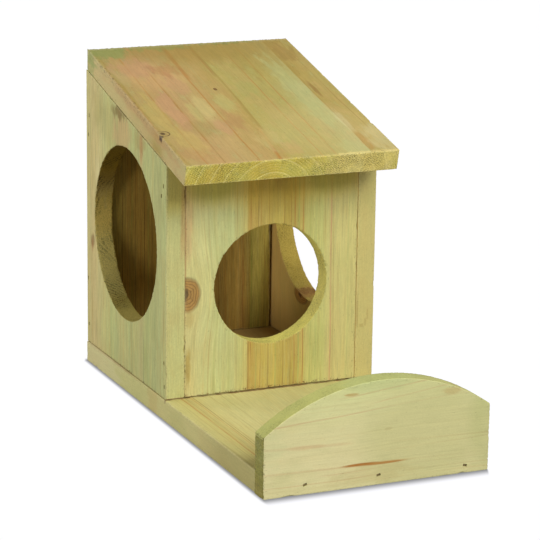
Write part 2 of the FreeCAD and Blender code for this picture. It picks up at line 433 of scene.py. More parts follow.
def saw_group():
    """Rows left by a saw, and the open pores of sawn grain."""
    tree, (place, slant, pitch), give = new_group("saw_marks", "place slant pitch", "rows pores")
    across, _, through = place.parts()
    sway = tree.noise(place, (9.0, 9.0, 9.0), 2.0)
    course = across * tree.math("COSINE", slant) + through * tree.math("SINE", slant)
    waves = tree.math("SINE", course * math.tau / pitch + sway * 9.0) * 0.5 + 0.5
    broken = tree.noise(place, (0.7, 0.7, 0.7), 2.0, 0.7).rise(0.42, 0.62)
    patchy = tree.noise(place, (14.0, 14.0, 14.0), 2.0).rise(0.40, 0.62)
    pores = tree.noise(place, (0.45, 0.8, 0.45), 3.0, 0.75).rise(0.46, 0.66)
    return give(rows=waves * broken * patchy, pores=pores)


groups = {
    "fibres": fibre_group(),
    "rings": ring_group(),
    "line": line_group(),
    "stain_or_painted_light": stain_or_painted_light_group(),
    "knot": knot_group(),
    "arris": arris_group(),
    "saw": saw_group(),
}


class Line(NamedTuple):
    """A line of late wood: where it crosses the board's foot, its colour and how it fades."""

    foot: float
    tint: tuple
    strength: float
    left: float = 0.4
    right: float = 0.4
    lean: float = 0.0
    start: float = -400.0
    stop: float = 400.0


class StainOrPaintedLight(NamedTuple):
    """A soft patch of another colour, whole or broken into specks: a stain, or painted shade or light.
    """

    across: float
    along: float
    half_width: float
    half_length: float
    tint: tuple
    strength: float
    depth: float = 0.0
    half_depth: float = 400.0
    broken: bool = False
    smooth: bool = False
    on_cut: bool = False


class Knot(NamedTuple):
    """A knot, with the colour of its wood and how dark its rim is."""

    across: float
    along: float
    half_width: float
    half_length: float
    tint: tuple
    rim: float


def measures(thing, names):
    """Some values of a mark or a board by name, as inputs for a shader group."""
    return {name: getattr(thing, name) for name in names.split()}


@dataclass
class Board:
    """How one board was cut and what its wood looks like, in its own millimetres."""

    origin: Vector
    across: tuple
    along: tuple
    through: tuple
    low: tuple
    high: tuple
    bands: list
    shift: float
    slope: float = 0.0
    lean: float = 0.0
    round_cut: tuple = (0.0, 0.0, -1000.0)
    inside: int = 0
    pith_across: float = -300.0
    pith_through: float = 0.0
    ring_start: float = 0.0
    ring_spacing: float = 8.0
    ring_uneven: float = 3.0
    ring_strength: float = 0.10
    edge_tint: tuple = pale_green
    end_tint: tuple = end_yellow
    end_warm: tuple = end_green
    end_line: tuple = cream
    cut_tint: tuple = cut_tan
    cut_end_tint: tuple = olive
    warm_share: float = 0.16
    blotch_tint: tuple = tan
    blotch_share: float = 0.08
    streaks: float = 0.5
    fibres: float = 0.24
    grit: float = 0.14
    mottle: float = 1.0
    grime: float = 0.3
    rubbed: float = 0.18
    rounding: float = 0.32
    inner_painted_shade: tuple = inside_painted_shade
    torn: float = 1.0
    shine: float = 0.20
    slant: float = 0.6
    pitch: float = 1.0
    rows: float = 0.35
    lines: list = field(default_factory=list)
    stains_and_painted_light: list = field(default_factory=list)
    knots: list = field(default_factory=list)

    def turn(self):
        """Turns the frame's directions into the board's own."""
        return Matrix((self.across, self.along, self.through))


def new_material(name):
    """A new material with its node tree."""
    material = bpy.data.materials.new(name)
    material.use_nodes = True
    return material, Tree(material.node_tree)


class Pine:
    """Green-tinted pine, painted on one board step by step."""

    def __init__(self, name, board):
        self.material, self.tree = new_material(name)
        self.board = board
        self.place = self.tree.place(board.turn(), board.origin)
        self.facing = self.tree.facing(board.turn()).parts()
        self.bend_grain()
        self.find_cuts()
        self.find_texture()
        self.paint_cuts()
        self.paint_clouds()
        self.paint_streaks()
        self.paint_lines()
        self.paint_stains_and_painted_light()
        self.paint_knots()
        self.paint_tone()
        self.paint_arrises()
        self.finish()

    def lay(self, share, tint):
        """Lays a tint over the colour so far."""
        self.colour = self.tree.mix(share, self.colour, tint)

    def bend_grain(self):
        """The point as the grain has it, bent round the knots and wandering a little."""
        bent = self.place
        self.knots = []
        for mark in self.board.knots:
            shape = measures(mark, "across along half_width half_length")
            knot = self.tree.use(groups["knot"], place=bent, **shape)
            bent = knot["place"]
            self.knots.append((mark, knot))
        across, along, through = bent.parts()
        drift = self.tree.noise(self.place, (60.0, 90.0, 60.0), 2.0) - 0.5
        waver = self.tree.noise(self.place, (14.0, 40.0, 14.0), 2.0) - 0.5
        self.grain_across = across + drift * 3.0 + waver * 0.8
        self.grain_place = self.tree.point(self.grain_across, along, through)

    def find_cuts(self):
        """Which of the board's surfaces a point lies on: round cut, end, edge or long grain."""
        at_across, at_along, radius = self.board.round_cut
        across, along, _ = self.place.parts()
        facing_across, facing_along, facing_through = [abs(part) for part in self.facing]
        off_round = abs(self.tree.length(across - at_across, along - at_along) - radius)
        self.cut = (1.0 - off_round.rise(0.5, 1.1)) * (1.0 - facing_through.rise(0.3, 0.9))
        self.uncut = 1.0 - self.cut
        self.end = facing_along.rise(0.45, 0.9) * self.uncut
        self.edge = facing_across.rise(0.45, 0.9) * self.uncut
        self.sawn_through = self.end.above(self.cut)
        self.long_grain = 1.0 - self.sawn_through
        self.sawn = (self.edge * 0.25).above(self.end).above(self.cut) * self.board.torn

    def find_texture(self):
        """Fibres, rings, saw marks and specks of the board."""
        tree = self.tree
        board = self.board
        rings = measures(board, "pith_across pith_through ring_start ring_spacing ring_uneven")
        self.grain = tree.use(groups["fibres"], place=self.grain_place, shift=board.shift)
        self.rings = tree.use(groups["rings"], place=self.grain_place, **rings)
        self.saw = tree.use(groups["saw"], place=self.place, **measures(board, "slant pitch"))
        self.specks = tree.noise(self.place, (0.9, 1.5, 0.9), 3.0, 0.7)
        self.streaks = self.long_grain * (1.0 - self.edge * 0.7) * board.streaks

    def paint_cuts(self):
        """Base colours: bands on the faces, other tints on edges, ends and the round cut."""
        board = self.board
        mix = self.tree.mix
        end_colour = mix(self.grain["cloud"].rise(0.4, 0.6), board.end_tint, board.end_warm)
        end_colour = mix(self.rings["between"] * 0.42, end_colour, board.end_line)
        end_colour = mix(self.rings["late"] * 0.75, end_colour, board.end_line)
        cut_colour = mix(abs(self.facing[1]).rise(0.3, 0.95), board.cut_tint, board.cut_end_tint)
        self.colour = self.tree.ramp(self.grain_across, board.bands)
        self.lay(self.edge, board.edge_tint)
        self.lay(self.end, end_colour)
        self.lay(self.cut, cut_colour)

    def paint_clouds(self):
        """Large soft patches of green, pink and tan."""
        board = self.board
        cloud = self.grain["cloud"]
        mottle = self.grain["mottle"]
        self.lay(cloud.rise(0.50, 0.70) * self.uncut * 0.16, leaf_green)
        self.lay(cloud.rise(0.48, 0.30) * self.uncut * board.warm_share, pink_tan)
        self.lay(mottle.rise(0.52, 0.75) * 0.14 * board.mottle, tan)
        self.lay(mottle.rise(0.46, 0.28) * self.uncut * 0.16 * board.mottle, pale_green)
        self.lay(self.grain["blotch"] * board.blotch_share * self.long_grain, board.blotch_tint)

    def paint_streaks(self):
        """Bands and streaks of the grain, dark and pale."""
        streak = self.grain["streak"]
        self.lay(self.grain["band"].rise(0.45, 0.75) * self.streaks * 0.28, tan)
        self.lay(streak.rise(0.50, 0.78) * self.streaks * 0.50, line_brown)
        self.lay(streak.rise(0.50, 0.25) * self.streaks * 0.30, pale_streak)
        self.lay(self.rings["late"] * self.long_grain * self.board.ring_strength, line_brown)

    def paint_lines(self):
        """Lines of late wood, placed one by one."""
        fade = self.tree.noise(self.place, (9.0, 38.0, 9.0), 2.0).rise(0.28, 0.55)
        lined = self.long_grain * fade
        for mark in self.board.lines:
            shape = measures(mark, "foot lean left right start stop")
            line = self.tree.use(groups["line"], place=self.grain_place, fade=lined, **shape)
            self.lay(line["mask"] * self.long_grain * mark.strength, mark.tint)

    def paint_stains_and_painted_light(self):
        """Stains, and painted shade and light, placed one by one."""
        outline = self.tree.noise(self.place, (5.0, 15.0, 5.0), 5.0, 0.65) - 0.5
        for mark in self.board.stains_and_painted_light:
            shape = measures(mark, "across along half_width half_length depth half_depth")
            ragged = 0.0 if mark.smooth else min(0.9 + 0.14 * mark.half_width, 2.2)
            stain_or_painted_light = self.tree.use(groups["stain_or_painted_light"], place=self.place, rough=outline * ragged, **shape)
            share = stain_or_painted_light["mask"] * mark.strength
            if mark.on_cut:
                share = share * self.cut
            if mark.broken:
                share = share * self.specks.rise(0.50, 0.60)
            self.lay(share, mark.tint)

    def paint_knots(self):
        """The wood of the knots, with their rings, hearts and rims."""
        on_face = self.long_grain * (1.0 - self.edge)
        for mark, knot in self.knots:
            wood = self.tree.mix(knot["rings"] * 0.85, mark.tint, knot_brown)
            wood = self.tree.mix(knot["heart"] * 0.9, wood, knot_dark)
            self.lay(knot["share"] * 0.9 * on_face, wood)
            self.lay(knot["rim"] * mark.rim * on_face, knot_dark)

    def paint_tone(self):
        """Light and dark of fibres, sawn grit and saw rows, and painted shade, darker and warmer, on
        the inner faces.
        """
        board = self.board
        fibres = board.fibres * self.long_grain * (1.0 - self.edge * 0.5)
        tone = 1.0 + (self.grain["fine"] - 0.5) * fibres
        tone = tone + (self.grain["streak"] - 0.5) * self.streaks * 0.45
        tone = tone + (self.grain["band"] - 0.5) * self.streaks * 0.25
        tone = tone + (self.grain["grit"] - 0.5) * (board.grit + self.sawn * 0.60)
        tone = tone + (self.grain["mottle"] - 0.5) * 0.14 * board.mottle
        tone = tone - self.saw["rows"] * board.rows * self.sawn_through
        tone = tone - self.saw["pores"] * 0.30 * board.torn * self.sawn_through
        self.colour = self.tree.shade(self.colour, tone)
        # Painted shade: the inner faces are made darker and warmer than the outer ones
        if board.inside:
            shaded_inside = self.tree.vector("MULTIPLY", self.colour, board.inner_painted_shade)
            self.lay((self.facing[2] * board.inside).rise(0.3, 0.8), shaded_inside)
        self.lay(self.grain["fleck"] * self.long_grain * 0.5, dirt)

    def paint_arrises(self):
        """Arrises are rubbed pale in places and hold dirt in others."""
        board = self.board
        shape = measures(board, "low high slope")
        shape.update(zip(("round_across", "round_along", "radius"), board.round_cut))
        arris = self.tree.use(groups["arris"], place=self.place, **shape)
        patchy = self.tree.noise(self.place, (3.0, 6.0, 3.0), 3.0, 0.6) - 0.5
        near = 1.0 - (arris["distance"] + patchy * 2.4).rise(0.0, 1.2)
        self.lay(near * board.rubbed, cream)
        dirty = 1.0 - arris["distance"].below(arris["round"]).rise(0.0, 4.0)
        speckled = (self.specks + dirty * 0.10).rise(0.66, 0.74)
        self.lay(speckled * board.grime, dirt)

    def finish(self):
        """Gives the shader its colour, roughness and bump."""
        grain = self.grain
        height = grain["fine"] * 0.05 + grain["streak"] * 0.06 - self.rings["late"] * 0.02
        height = height * self.long_grain - grain["fleck"] * 0.06
        height = height + grain["grit"] * (0.04 + self.sawn * 0.34)
        height = height - self.saw["rows"] * self.sawn * 0.26
        roughness = 0.62 + grain["streak"] * 0.14 + self.sawn * 0.12
        shader = self.tree.surface(height, base_color=self.colour, roughness=roughness)
        shader.inputs["Specular IOR Level"].default_value = self.board.shine


# The ways that the boards lie
across_x = (1.0, 0.0, 0.0)
along_y = (0.0, 1.0, 0.0)
up = (0.0, 0.0, 1.0)
towards_front = (0.0, -1.0, 0.0)
slope_up = (0.0, math.cos(roof_slope), math.sin(roof_slope))
slope_out = (0.0, -math.sin(roof_slope), math.cos(roof_slope))


def circle_through(first, second, third):
    """Centre and radius of the circle through three flat points."""
    (ax, ay), (bx, by), (cx, cy) = first, second, third
    doubled = 2 * (ax * (by - cy) + bx * (cy - ay) + cx * (ay - by))
    a, b, c = ax * ax + ay * ay, bx * bx + by * by, cx * cx + cy * cy
    centre_x = (a * (by - cy) + b * (cy - ay) + c * (ay - by)) / doubled
    centre_y = (a * (cx - bx) + b * (ax - cx) + c * (bx - ax)) / doubled
    return centre_x, centre_y, math.hypot(ax - centre_x, ay - centre_y)


roof = Board(
    origin=roof_eaves,
    across=across_x,
    along=slope_up,
    through=slope_out,
    low=(-60, 0, 0),
    high=(60, (roof_overhang + side_depth) / math.cos(roof_slope), 11),
    lean=slope_rise,
    shift=1.0,
    pith_across=-11.0,
    pith_through=-11.7,
    ring_start=1.2,
    ring_spacing=7.3,
    ring_uneven=2.0,
    ring_strength=0.0,
    bands=[
        (-60, screen(180, 156, 92)),
        (-50, screen(182, 152, 94)),
        (-38.4, screen(190, 154, 98)),
        (-37.6, screen(188, 156, 98)),
        (-28, screen(188, 160, 102)),
        (-19, screen(186, 158, 96)),
        (-4, screen(182, 156, 86)),
        (-1, screen(182, 166, 92)),
        (15, screen(180, 164, 92)),
        (24, screen(178, 164, 92)),
        (43.7, screen(184, 180, 118)),
        (44.3, screen(178, 154, 84)),
        (60, screen(184, 164, 92)),
    ],
    lines=[
        Line(-58, ochre, 0.9, left=2.4, right=1.4),
        Line(-48.5, orange, 0.65, right=1, lean=0.008),
        Line(-38.4, orange, 0.95, left=0.5, right=1.4, lean=0.010, start=24, stop=112),
        Line(-38.4, line_brown, 0.55, right=0.8, lean=0.010),
        Line(-28.5, orange, 0.30, right=0.8, lean=-0.004),
        Line(-19, rust, 0.55, left=0.8, right=1.4, lean=0.010, start=112),
        Line(-20, orange, 0.90, left=0.5, right=1, lean=0.012),
        Line(-20.6, orange, 0.95, left=1, right=2.2, lean=0.026, start=104),
        Line(-8, orange, 0.95, left=2.2, right=1.2, lean=0.10, stop=38),
        Line(-4.6, ochre, 0.95, left=2.2, right=0.8, lean=0.05, start=26, stop=76),
        Line(-2, ochre, 0.90, left=1.4, right=0.8, lean=0.012, start=60),
        Line(-4, rust, 0.45, left=1, right=1.4, lean=0.018, start=108),
        Line(15.3, orange, 0.75, right=0.8, lean=0.010),
        Line(23.4, orange, 0.80, right=0.9, lean=0.012),
        Line(32, line_brown, 0.35, right=0.5, lean=0.018),
        Line(44.3, ochre, 0.8, right=1.6),
        Line(55.5, line_brown, 0.6, right=0.6, lean=-0.012),
    ],
    stains_and_painted_light=[
        # Darker and more ochre towards the back: partly the wood's tone, partly painted shade where
        # less light falls
        StainOrPaintedLight(4, 152, 80, 40, screen(162, 132, 62), 0.62, smooth=True),
        # Painted light: lighter towards the front on the right
        StainOrPaintedLight(30, 30, 44, 48, screen(224, 206, 140), 0.20, smooth=True),
        StainOrPaintedLight(36, 114, 28, 34, screen(172, 150, 66), 0.26, smooth=True),
        StainOrPaintedLight(-36, 108, 26, 26, screen(226, 180, 124), 0.26, smooth=True),
        StainOrPaintedLight(30, 134, 34, 40, ochre, 0.50),
        StainOrPaintedLight(10, 138, 14, 16, ochre, 0.45),
        StainOrPaintedLight(-42, 122, 17, 17, pink, 0.62),
        StainOrPaintedLight(-28, 98, 10, 22, pink, 0.52),
        StainOrPaintedLight(-28, 117, 13, 12, rust, 0.30),
        StainOrPaintedLight(-52, 62, 8, 38, screen(194, 174, 94), 0.42),
        StainOrPaintedLight(-55, 112, 6, 14, beige, 0.25),
        StainOrPaintedLight(-42, 66, 7, 36, pink, 0.75),
        StainOrPaintedLight(-24, 66, 5.5, 26, screen(206, 188, 122), 0.60),
        StainOrPaintedLight(-4, 26, 10, 18, screen(204, 184, 120), 0.35),
        StainOrPaintedLight(-31, 62, 4, 18, straw_green, 0.45),
        StainOrPaintedLight(-34, 42, 14, 13, olive, 0.20),
        StainOrPaintedLight(-14, 49, 8, 19, pink_deep, 0.42),
        StainOrPaintedLight(-23, 42, 5, 16, pink, 0.60),
        StainOrPaintedLight(-28, 22, 12, 14, screen(192, 162, 104), 0.45),
        StainOrPaintedLight(-46, 24, 9, 20, screen(196, 172, 98), 0.50),
        StainOrPaintedLight(-50, 12, 14, 12, pink_deep, 0.25),
        StainOrPaintedLight(-10, 70, 6, 18, straw_green, 0.50),
        StainOrPaintedLight(2, 12, 12, 10, pink, 0.25),
        StainOrPaintedLight(8, 88, 9, 16, leaf_green, 0.20),
        StainOrPaintedLight(36, 80, 8, 62, sage, 0.50),
        StainOrPaintedLight(36, 8, 9, 14, sage, 0.40),
        StainOrPaintedLight(47, 82, 2, 18, line_brown, 0.75),
        StainOrPaintedLight(46, 108, 2.4, 16, ochre, 0.60),
        StainOrPaintedLight(46, 14, 3.4, 16, orange, 0.35),
        StainOrPaintedLight(50, 132, 10, 18, line_brown, 0.40),
        StainOrPaintedLight(55, 18, 8, 26, cream, 0.32),
        StainOrPaintedLight(45, 40, 3.5, 20, cream, 0.35),
        StainOrPaintedLight(-51, 147, 17, 16, screen(138, 150, 82), 0.75),
        StainOrPaintedLight(-20, 151, 28, 10, screen(142, 148, 78), 0.60),
        StainOrPaintedLight(22, 152, 26, 6, moss, 0.55),
        StainOrPaintedLight(-60, 66, 2, 70, pink_deep, 0.40, depth=10, half_depth=6),
        StainOrPaintedLight(-60, 100, 2, 60, knot_brown, 0.42, depth=10, half_depth=3.4, broken=True),
        StainOrPaintedLight(42, 0, 34, 3, screen(236, 214, 132), 0.50),
        StainOrPaintedLight(-60, 36, 2.2, 3, knot_dark, 0.95, depth=10, half_depth=2.6),
    ],
    knots=[
        Knot(-8.7, 89, 1, 1.6, knot_brown, 0.8),
        Knot(-57.6, 39, 3.6, 3.2, tan, 1),
    ],
    edge_tint=screen(192, 174, 116),
    end_tint=screen(206, 184, 76),
    end_warm=screen(208, 194, 92),
    end_line=screen(232, 218, 128),
    slant=2.05,
    rows=0.50,
    grime=0.5,
    rounding=0.24,
    streaks=0.32,
    fibres=0.36,
    mottle=2.1,
    blotch_tint=pink,
    blotch_share=0.12,
)

side_axes = dict(across=along_y, along=up, through=across_x)
side_shape = dict(
    low=(0, 0, 0),
    high=(side_depth, 125.44, 10.5),
    slope=slope_rise,
    round_cut=side_window,
)
wall_foot = base_high.z

left_side = Board(
    origin=Vector((left_low.x, left_low.y, wall_foot)),
    inside=1,
    shift=2.0,
    **side_axes,
    **side_shape,
    bands=[
        (0, screen(188, 194, 130)),
        (12, screen(186, 188, 126)),
        (30, screen(182, 186, 122)),
        (36, screen(188, 180, 122)),
        (44, screen(184, 186, 122)),
        (58, screen(188, 192, 128)),
        (68, screen(194, 188, 124)),
        (82, screen(188, 194, 128)),
        (98, screen(200, 192, 130)),
        (110, screen(204, 186, 128)),
        (122, screen(198, 188, 126)),
    ],
    lines=[
        Line(32.2, seam_brown, 0.80, right=0.3, stop=26),
        Line(20, seam_brown, 0.45, left=0.3, right=0.3, start=-6, stop=9),
        Line(59, seam_brown, 0.35, left=0.3, right=0.3, stop=12),
        Line(84, seam_brown, 0.50, left=0.3, right=0.3, stop=7),
        Line(50, line_brown, 0.3, right=1.5, stop=28),
        Line(41, seam_brown, 0.35, left=0.3, right=0.3, stop=22),
        Line(27, line_brown, 0.40, right=0.6, stop=30),
        Line(14, line_brown, 0.30, right=0.5, start=20, stop=110),
        Line(7, line_brown, 0.25, right=0.5, start=-6, stop=70),
        Line(68, line_brown, 0.30, left=0.3, right=0.5, stop=24),
        Line(113, line_brown, 0.30, right=0.6),
        Line(96, line_brown, 0.25, right=1.2),
    ],
    stains_and_painted_light=[
        # Painted shade: a darker band below the roof
        StainOrPaintedLight(82, 132, 40, 16, screen(176, 166, 106), 0.60, smooth=True),
        StainOrPaintedLight(64, 130, 20, 16, pink, 0.40),
        StainOrPaintedLight(36.5, 128, 3, 14, pink_deep, 0.50),
        StainOrPaintedLight(69, 142, 16, 7, screen(120, 98, 48), 0.75),
        StainOrPaintedLight(104, 140, 12, 14, olive, 0.18),
        # Painted shade under the eaves at the wall's front
        StainOrPaintedLight(5, 112, 14, 30, olive, 0.14),
        StainOrPaintedLight(61, 0, 120, 1, screen(140, 102, 40), 0.60, half_depth=3, smooth=True),
        StainOrPaintedLight(61, 0, 90, 1.5, seam_brown, 0.85, half_depth=2, broken=True),
        StainOrPaintedLight(0, 0, 2, 1.1, foot_brown, 0.85, depth=5, half_depth=9, smooth=True),
        # Painted light: a warm tint over the shade under the roof on the front edge
        StainOrPaintedLight(0, 118, 1.2, 26, screen(206, 184, 78), 0.50, depth=6.5, half_depth=9, smooth=True),
        StainOrPaintedLight(0, 100, 1.5, 34, pink_deep, 0.45, depth=10.5, half_depth=3.4),
        StainOrPaintedLight(38, 131, 11, 9, line_brown, 0.35),
        StainOrPaintedLight(112.5, 60.5, 4.6, 6.4, knot_brown, 0.60),
        StainOrPaintedLight(112.8, 58, 2.4, 6, rust, 0.30),
        StainOrPaintedLight(104, 90, 5, 40, cream, 0.30),
        StainOrPaintedLight(75, 12, 6, 14, mint, 0.22),
        StainOrPaintedLight(92, 16, 10, 18, pale_green, 0.40),
        # Painted shade on the window cut's upper part, which faces down, and painted light on its lower
        # part, which faces up
        StainOrPaintedLight(88, 116, 44, 58, screen(122, 96, 20), 0.90, smooth=True, on_cut=True),
        StainOrPaintedLight(62, 30, 34, 16, screen(196, 184, 104), 0.55, smooth=True, on_cut=True),
        StainOrPaintedLight(98, 48, 26, 30, screen(236, 226, 140), 0.50, smooth=True, on_cut=True),
    ],
    edge_tint=screen(194, 192, 129),
    # End grain painted pale: the wood's own colour, and painted light that lightens the shaded seam
    # under the roof
    end_tint=screen(232, 222, 150),
    end_warm=screen(228, 222, 150),
    cut_tint=screen(222, 196, 104),
    cut_end_tint=screen(166, 142, 58),
    streaks=1.55,
    fibres=0.95,
    grit=0.24,
    rounding=0.14,
    rows=0.75,
    pitch=1.4,
    shine=0.10,
    torn=0.8,
)

right_side = Board(
    origin=Vector((right_low.x, right_low.y, wall_foot)),
    inside=-1,
    shift=3.0,
    **side_axes,
    **side_shape,
    bands=[
        (0, tan),
        (18, straw),
        (40, straw_green),
        (64, screen(196, 174, 112)),
        (88, screen(206, 186, 128)),
        (106, screen(210, 186, 128)),
        (122, screen(204, 172, 118)),
    ],
    stains_and_painted_light=[
        StainOrPaintedLight(71, 31, 9, 6, screen(160, 114, 62), 0.70),
        StainOrPaintedLight(73, 31, 5, 3, knot_brown, 0.60),
        StainOrPaintedLight(0, 38, 2, 12, line_brown, 0.45, depth=0.8, half_depth=0.7),
        StainOrPaintedLight(0, 29.6, 2, 1.4, line_brown, 0.30, depth=3.4, half_depth=1.8, smooth=True),
        StainOrPaintedLight(0, 31.4, 2, 3, line_brown, 0.30, depth=5.8, half_depth=0.9, smooth=True),
        StainOrPaintedLight(0, 35.6, 2, 4.6, line_brown, 0.26, depth=7, half_depth=0.7, smooth=True),
    ],
    knots=[Knot(71, 29, 9, 5, knot_tan, 0.4)],
    edge_tint=screen(199, 186, 117),
    cut_tint=screen(186, 162, 74),
    cut_end_tint=screen(178, 154, 68),
    # Painted shade on the inner face: warmer, and lighter than on the other boards
    inner_painted_shade=(1.0, 0.86, 0.56),
    streaks=0.80,
    fibres=0.40,
    rounding=0.12,
)

front_wall = Board(
    origin=Vector((0.0, front_high.y, wall_foot)),
    across=across_x,
    along=up,
    through=towards_front,
    inside=-1,
    low=(-49.45, 0.3, 0),
    high=(49.45, 127.925, 10.5),
    lean=-slope_rise,
    shift=4.0,
    round_cut=entrance,
    bands=[
        (-49.35, straw),
        (-43, screen(204, 200, 138)),
        (-36, screen(198, 200, 138)),
        (-22, screen(190, 194, 132)),
        (-14.6, screen(194, 186, 112)),
        (-13.6, screen(186, 158, 80)),
        (-3, screen(190, 170, 86)),
        (4, screen(194, 174, 88)),
        (10, screen(180, 158, 76)),
        (18.4, screen(184, 168, 90)),
        (19.2, screen(190, 184, 108)),
        (29, screen(192, 192, 118)),
        (34, screen(200, 190, 122)),
        (42, screen(204, 196, 126)),
        (49.35, screen(200, 190, 120)),
    ],
    lines=[
        Line(-39, orange, 0.35, left=0.3, right=0.3),
        Line(-36.2, orange, 0.40, left=0.3),
        Line(-33.3, leaf_green, 0.30, right=1.2),
        Line(-27.5, line_brown, 0.25, left=0.3, right=0.3),
        Line(-25, leaf_green, 0.22, right=1.6),
        Line(-20, line_brown, 0.45, left=0.3, right=0.3, start=85),
        Line(-13.6, line_brown, 0.90, left=0.8, right=0.8, stop=28),
        Line(-12.4, rust, 0.60, left=0.3, right=0.6, start=20),
        Line(-9, leaf_green, 0.60, left=0.6, right=0.5, stop=28),
        Line(-8, line_brown, 0.60, right=0.6, start=85),
        Line(-6.5, orange, 0.50, right=0.5),
        Line(-2, line_brown, 0.65, left=0.3, right=0.7),
        Line(2.5, leaf_green, 0.55, left=0.6, right=0.6, stop=28),
        Line(5, ochre, 0.40, left=2.4, right=2.4, stop=28),
        Line(6.8, line_brown, 0.75, right=0.6),
        Line(11, line_brown, 0.85, left=0.6, right=0.5),
        Line(13.2, rust, 0.75, left=0.7, right=0.6),
        Line(15.6, leaf_green, 0.70, left=0.7, right=0.6),
        Line(18.2, rust, 0.60, left=0.7, right=0.3),
        Line(22.5, leaf_green, 0.40, left=0.5),
        Line(26, leaf_green, 0.40),
        Line(34.6, pink, 0.80, left=0.8, right=0.6),
        Line(36, line_brown, 0.45, left=0.3, right=0.3, stop=90),
        Line(41, line_brown, 0.35, left=0.3, right=0.3, start=50),
        Line(44.6, leaf_green, 0.40, right=0.3),
    ],
    stains_and_painted_light=[
        StainOrPaintedLight(-47.5, 18, 2.6, 15, ochre, 0.75),
        StainOrPaintedLight(-47, 43, 4, 6, tan, 0.50),
        StainOrPaintedLight(-47.5, 92, 3.5, 24, pink, 0.40),
        # Painted light under the eaves: a warm tint that lightens the shade of the top band
        StainOrPaintedLight(0, 122, 110, 30, screen(226, 190, 78), 0.50, smooth=True),
        StainOrPaintedLight(4, 122, 18, 14, orange, 0.25),
        StainOrPaintedLight(2, 108, 15, 16, line_brown, 0.18),
        StainOrPaintedLight(9, 118, 1.6, 1.8, knot_dark, 0.60),
        # Painted shade under the eaves: darker olive in the top corners
        StainOrPaintedLight(-34, 116, 20, 18, screen(166, 168, 66), 0.45, smooth=True),
        StainOrPaintedLight(34, 116, 20, 18, screen(172, 166, 70), 0.40, smooth=True),
        StainOrPaintedLight(28, 20, 7, 20, leaf_green, 0.20),
        StainOrPaintedLight(0, 0.6, 90, 1.6, foot_brown, 0.85, broken=True),
        StainOrPaintedLight(-40, 62, 12, 22, screen(212, 204, 138), 0.35),
        StainOrPaintedLight(-49.3, 22, 0.9, 34, seam_brown, 0.60, broken=True),
        StainOrPaintedLight(-49.3, 84, 1, 60, screen(182, 134, 86), 0.60, smooth=True),
    ],
    knots=[Knot(-48.4, 56, 8, 9.5, screen(170, 126, 66), 0.35)],
    cut_tint=screen(216, 204, 112),
    cut_end_tint=screen(214, 204, 104),
    streaks=0.95,
    fibres=0.66,
    grit=0.20,
    rounding=0.05,
)

back_wall = Board(
    origin=Vector((0.0, back_high.y, wall_foot)),
    across=across_x,
    along=up,
    through=towards_front,
    inside=1,
    low=(-49.35, 0, 0),
    high=(48.2, 155.7, 10.5),
    lean=-slope_rise,
    shift=5.0,
    bands=[
        (-49.35, screen(178, 170, 100)),
        (-38, screen(180, 158, 92)),
        (-30, screen(184, 160, 92)),
        (-16, screen(182, 160, 92)),
        (-8, screen(184, 162, 94)),
        (-3, screen(196, 184, 104)),
        (6, screen(192, 182, 104)),
        # Darker from 12 to 26 across: painted shade inside the box
        (12, screen(172, 146, 84)),
        (26, screen(176, 152, 88)),
        (27.6, screen(202, 178, 116)),
        (29.6, screen(184, 156, 94)),
        (33, screen(184, 160, 94)),
        (36, screen(170, 158, 86)),
        (37.4, screen(192, 186, 112)),
        (48.2, screen(194, 188, 112)),
    ],
    lines=[
        Line(-42.5, seam_brown, 0.55, left=0.3),
        Line(-40.8, seam_brown, 0.40, left=0.3, right=0.3),
        Line(-39.5, rust, 0.22, right=0.7),
        Line(-37, leaf_green, 0.60, right=0.9),
        Line(-34.8, seam_brown, 0.60, left=0.3),
        Line(-32, rust, 0.22, right=0.9),
        Line(-29.6, seam_brown, 0.60, left=0.3),
        Line(-27.4, leaf_green, 0.60, right=0.8),
        Line(-25, seam_brown, 0.50, left=0.3),
        Line(15.5, line_brown, 0.55, right=0.7),
        Line(20, rust, 0.18, right=0.8),
        Line(24, line_brown, 0.60, right=0.5),
        Line(31, rust, 0.32, left=0.8, right=1),
        Line(36.2, leaf_green, 0.80, left=0.5, right=0.8),
        Line(41, leaf_green, 0.50, right=0.8),
        Line(44.5, line_brown, 0.40, right=0.6),
    ],
    stains_and_painted_light=[
        StainOrPaintedLight(47.8, 96, 1.5, 70, knot_dark, 0.75, depth=10.5, half_depth=3),
        StainOrPaintedLight(46.4, 108, 1.4, 3, knot_dark, 0.85, depth=10.5, half_depth=3),
        StainOrPaintedLight(46.4, 100, 1.3, 2, knot_brown, 0.80, depth=10.5, half_depth=3),
    ],
    streaks=2.0,
    fibres=1.3,
    grit=0.36,
    rounding=0.20,
)

